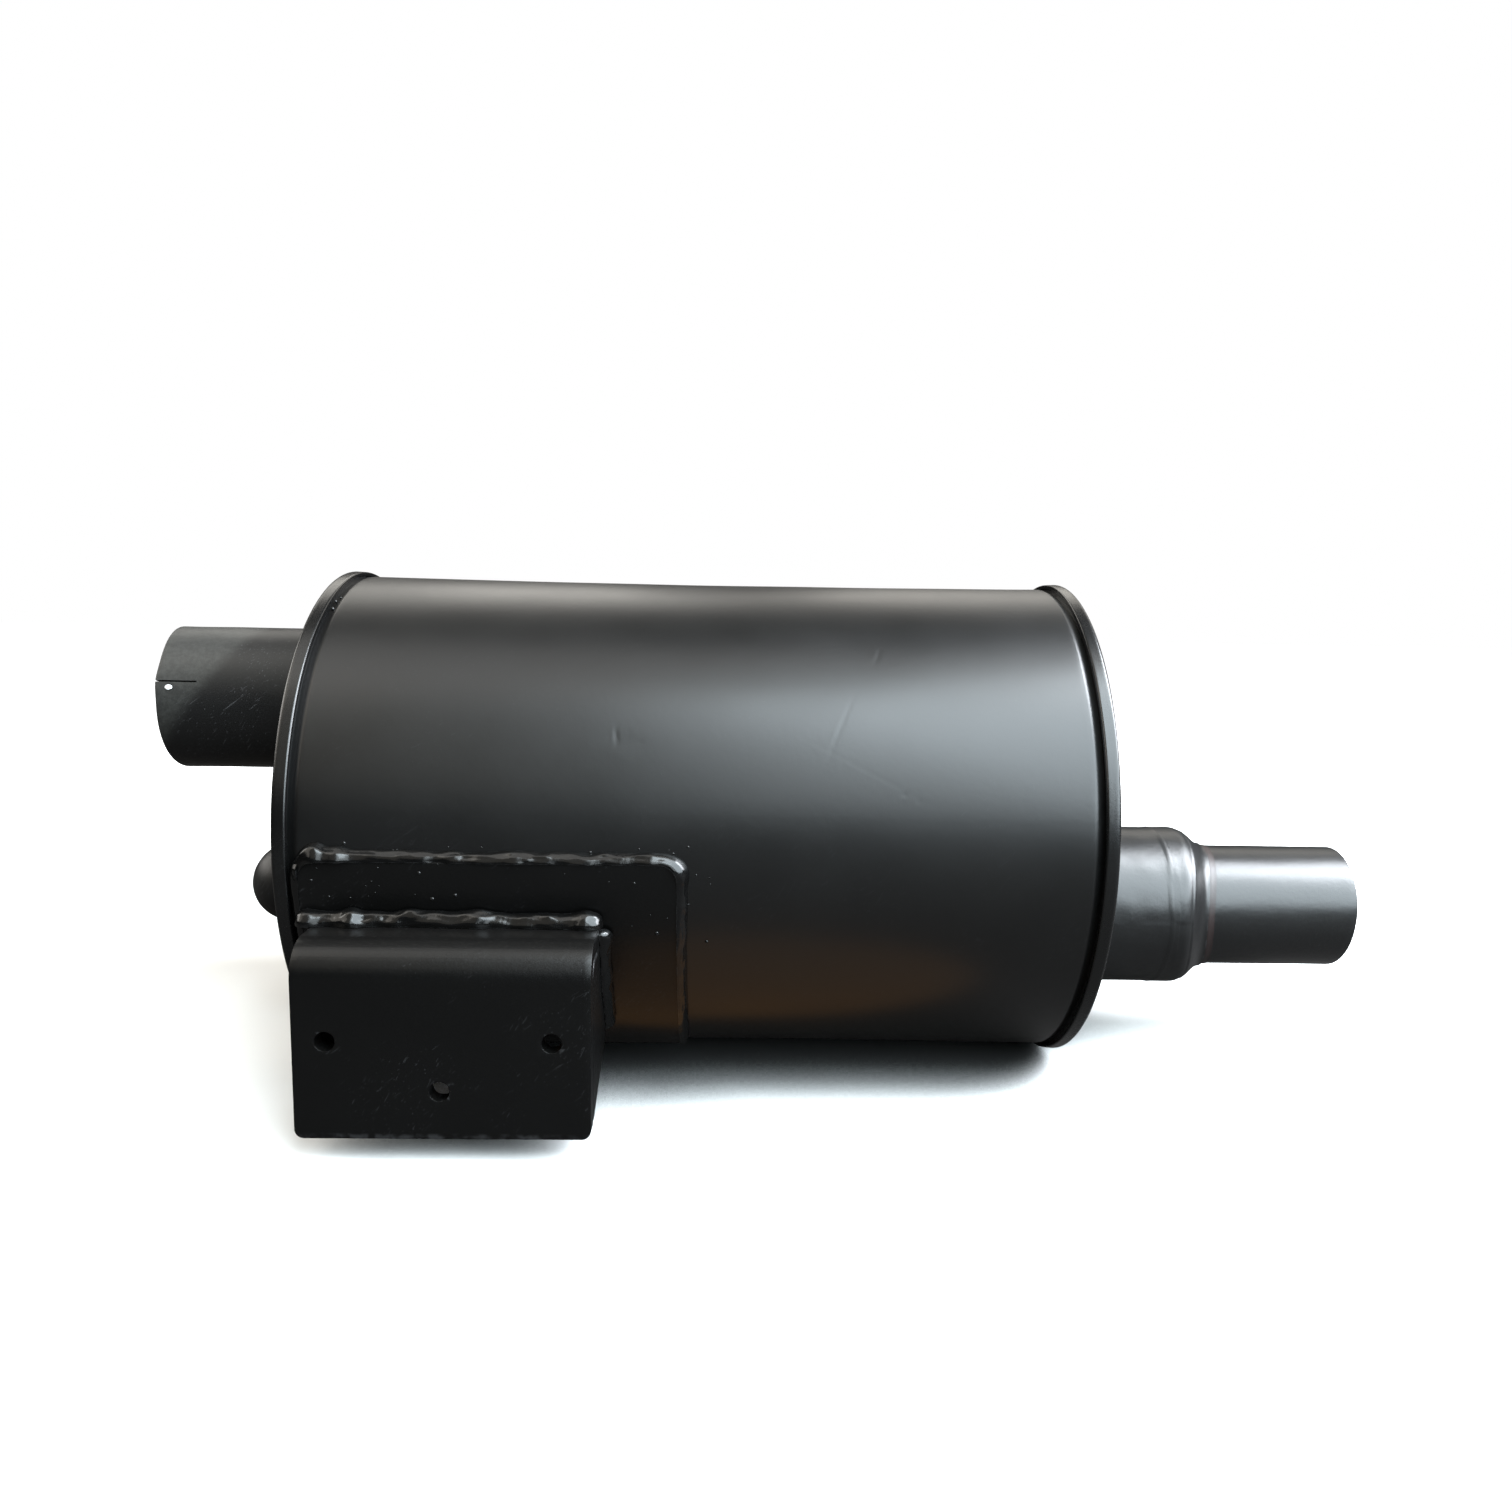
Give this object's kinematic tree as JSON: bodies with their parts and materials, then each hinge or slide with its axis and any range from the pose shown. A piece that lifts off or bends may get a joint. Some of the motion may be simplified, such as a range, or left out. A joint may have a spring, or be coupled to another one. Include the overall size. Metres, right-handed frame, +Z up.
{
  "type": "exhaust muffler",
  "caption": "Round welded steel exhaust muffler, painted black, with an offset slotted inlet socket, a stepped outlet spigot and a gusseted side bracket drilled for bolts.",
  "frame": {"origin": "on the front face of the mounting plate, midway between the upper two bolt holes", "axes": "+X along the body from the inlet to the outlet, +Z up in the plate's plane, -Y out of the plate's front face"},
  "size_m": [0.4834, 0.2183, 0.194],
  "materials": {
    "black_satin": "satin black heat-resistant paint, smooth over sheet steel, with faint scratches and dents",
    "black_pipe": "satin black paint with a slight sheen on drawn tube, rubbed at the mouths",
    "black_bracket": "semi-gloss black paint over hot-rolled plate, with a light sheared edge",
    "black_weld": "glossy black paint over rippled weld metal with small spatter",
    "bare_steel": "uncoated mild steel inside, dull and lightly heat tinted"
  },
  "bodies": {
    "root": {"shell": "black_satin", "inlet_end_cap": "black_satin", "outlet_end_cap": "black_satin", "inlet_socket": "black_pipe", "closed_stub": "black_pipe", "outlet_sleeve": "black_pipe", "outlet_spigot": "black_pipe", "saddle_plate": "black_bracket", "mounting_plate": "black_bracket", "gusset_inlet_side": "black_bracket", "gusset_outlet_side": "black_bracket", "saddle_weld": "black_weld", "flange_weld": "black_weld", "gusset_weld_inlet_side": "black_weld", "gusset_weld_outlet_side": "black_weld", "socket_weld": "black_weld", "stub_weld": "black_weld", "sleeve_weld": "black_weld", "spigot_weld": "black_weld", "inlet_tube": "bare_steel", "outlet_tube": "bare_steel", "crossover_tube_front": "bare_steel", "crossover_tube_back": "bare_steel", "inlet_baffle": "bare_steel", "outlet_baffle": "bare_steel"}
  },
  "joints": []
}
